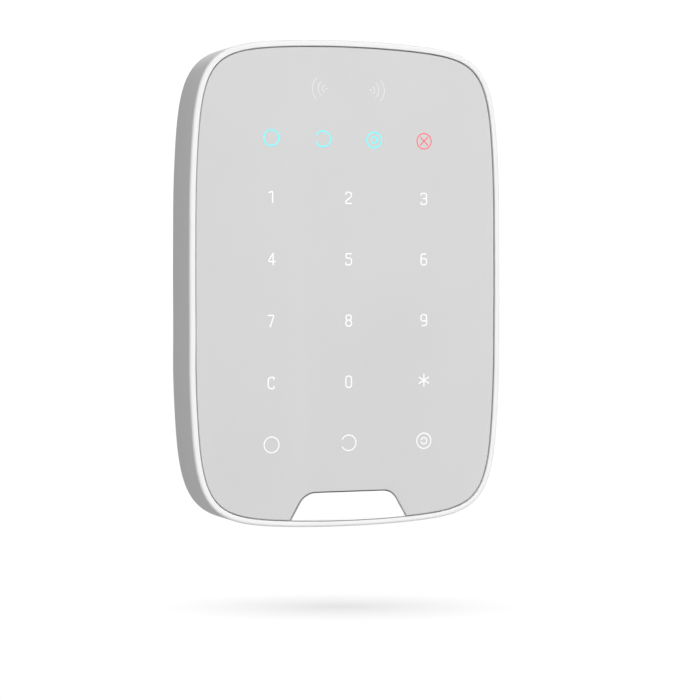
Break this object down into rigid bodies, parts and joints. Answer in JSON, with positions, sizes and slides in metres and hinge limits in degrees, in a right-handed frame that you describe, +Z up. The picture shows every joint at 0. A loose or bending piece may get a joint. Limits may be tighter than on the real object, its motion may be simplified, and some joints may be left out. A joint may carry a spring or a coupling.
{
  "type": "wireless alarm keypad",
  "caption": "Wall alarm keypad: a flat rounded white case with a grey touch panel, backlit keys and indicators, sliding up and off its wall bracket.",
  "frame": {"origin": "centre of the wall bracket's rear face, which lies on the wall", "axes": "+Z up along the keypad's height, +X to the right seen from the front, +Y into the wall; the touch panel faces -Y"},
  "size_m": [0.113, 0.02, 0.165],
  "materials": {
    "housing_white": "satin moulded white",
    "panel_grey": "satin, pale neutral grey",
    "badge_white": "smooth white",
    "bracket_white": "fine spark-eroded texture",
    "cover_white": "fine spark-eroded texture",
    "legend_white": "backlit white",
    "indicator_cyan": "backlit cyan",
    "indicator_red": "backlit red",
    "diffuser": "milky, translucent",
    "board_green": "solder resist over glass fibre",
    "copper": "bare copper",
    "steel": "zinc plated",
    "spring_steel": "drawn wire",
    "black_plastic": "moulded black",
    "cell_sleeve": "printed film sleeve without lettering"
  },
  "bodies": {
    "bracket": {"wall_bracket": "bracket_white", "lock_screw": "steel"},
    "keypad": {"rear_cover": "cover_white", "front_housing": "housing_white", "front_panel": "panel_grey", "badge_plate": "badge_white", "light_guide": "diffuser", "touch_board": "board_green", "reader_antenna": "copper", "radio_module": "steel", "radio_antenna_left": "copper", "radio_antenna_right": "copper", "buzzer": "black_plastic", "battery_holder": "black_plastic", "tamper_switch": "black_plastic", "power_switch": "black_plastic", "tamper_spring": "spring_steel", "cover_screw_1": "steel", "cover_screw_2": "steel", "cover_screw_3": "steel", "cover_screw_4": "steel", "cover_screw_5": "steel", "cover_screw_6": "steel", "cell_contact_1": "steel", "cell_contact_2": "steel", "cell_contact_3": "steel", "cell_contact_4": "steel", "cell_spring_1": "spring_steel", "cell_spring_2": "spring_steel", "cell_spring_3": "spring_steel", "cell_spring_4": "spring_steel", "battery_cell_1": "cell_sleeve", "battery_cell_2": "cell_sleeve", "battery_cell_3": "cell_sleeve", "battery_cell_4": "cell_sleeve", "key_led_1": "legend_white", "key_led_2": "legend_white", "key_led_3": "legend_white", "key_led_4": "legend_white", "key_led_5": "legend_white", "key_led_6": "legend_white", "key_led_7": "legend_white", "key_led_8": "legend_white", "key_led_9": "legend_white", "key_led_10": "legend_white", "key_led_11": "legend_white", "key_led_12": "legend_white", "key_led_13": "legend_white", "key_led_14": "legend_white", "key_led_15": "legend_white", "indicator_led_1": "indicator_cyan", "indicator_led_2": "indicator_cyan", "indicator_led_3": "indicator_cyan", "indicator_led_4": "indicator_red"},
    "tamper": {"tamper_plunger": "black_plastic"},
    "power": {"power_button": "black_plastic"}
  },
  "joints": [
    {"name": "keypad_lift", "type": "slide", "parent": "bracket", "child": "keypad", "axis": [0, 0, 1], "range_m": [0, 0.006]},
    {"name": "tamper_press", "type": "slide", "parent": "keypad", "child": "tamper", "axis": [0, -1, 0], "range_m": [0, 0.0012], "stiffness_N_per_m": 150, "deforming": ["tamper_spring"]},
    {"name": "power_press", "type": "slide", "parent": "keypad", "child": "power", "axis": [0, -1, 0], "range_m": [0, 0.0006], "stiffness_N_per_m": 400}
  ]
}
